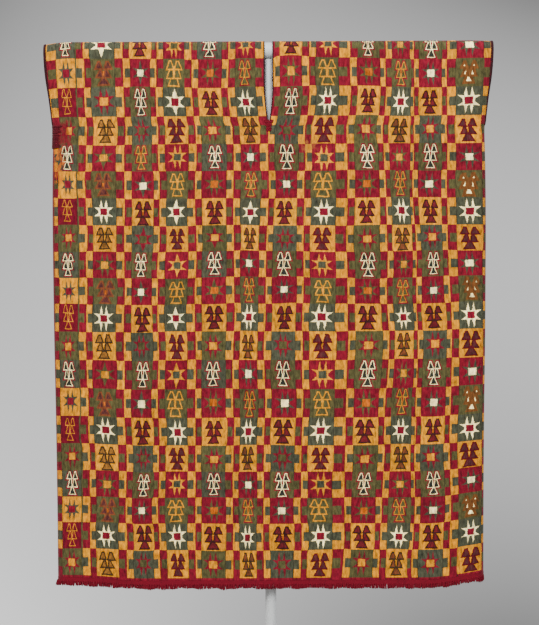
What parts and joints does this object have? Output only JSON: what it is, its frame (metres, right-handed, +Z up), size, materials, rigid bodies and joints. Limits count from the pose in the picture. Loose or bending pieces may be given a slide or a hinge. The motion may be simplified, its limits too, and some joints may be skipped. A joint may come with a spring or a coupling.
{
  "type": "woven tunic on a T-shaped display stand",
  "caption": "Sleeveless rectangular woven tunic with a neck slit, open armholes and a short hem fringe, hung over the bar of a T-shaped floor stand.",
  "frame": {"origin": "on the floor, in the middle of the underside of the stand's base", "axes": "+Z up along the post, +X to the right as seen from the front and along the crossbar; the tunic's front faces -Y"},
  "size_m": [0.6979, 0.36, 1.1129],
  "materials": {
    "web_cloth": "dense tapestry weave in gold, crimson, olive, blue-green and ivory yarn",
    "band_yarn": "close overcast stitches in dark madder yarn",
    "fringe_yarn": "short twisted crimson yarn",
    "stand_paint": "satin light grey paint"
  },
  "bodies": {
    "root": {"front_web": "web_cloth", "back_web": "web_cloth", "hem_fringe_front": "fringe_yarn", "hem_fringe_back": "fringe_yarn", "neck_band_left": "band_yarn", "neck_band_right": "band_yarn", "arm_band_left": "band_yarn", "arm_band_right": "band_yarn", "side_seam_left": "band_yarn", "side_seam_right": "band_yarn", "neck_tack_front": "band_yarn", "neck_tack_back": "band_yarn", "underarm_tack_left": "band_yarn", "stand_base": "stand_paint", "stand_post": "stand_paint", "stand_crossbar": "stand_paint"}
  },
  "joints": []
}
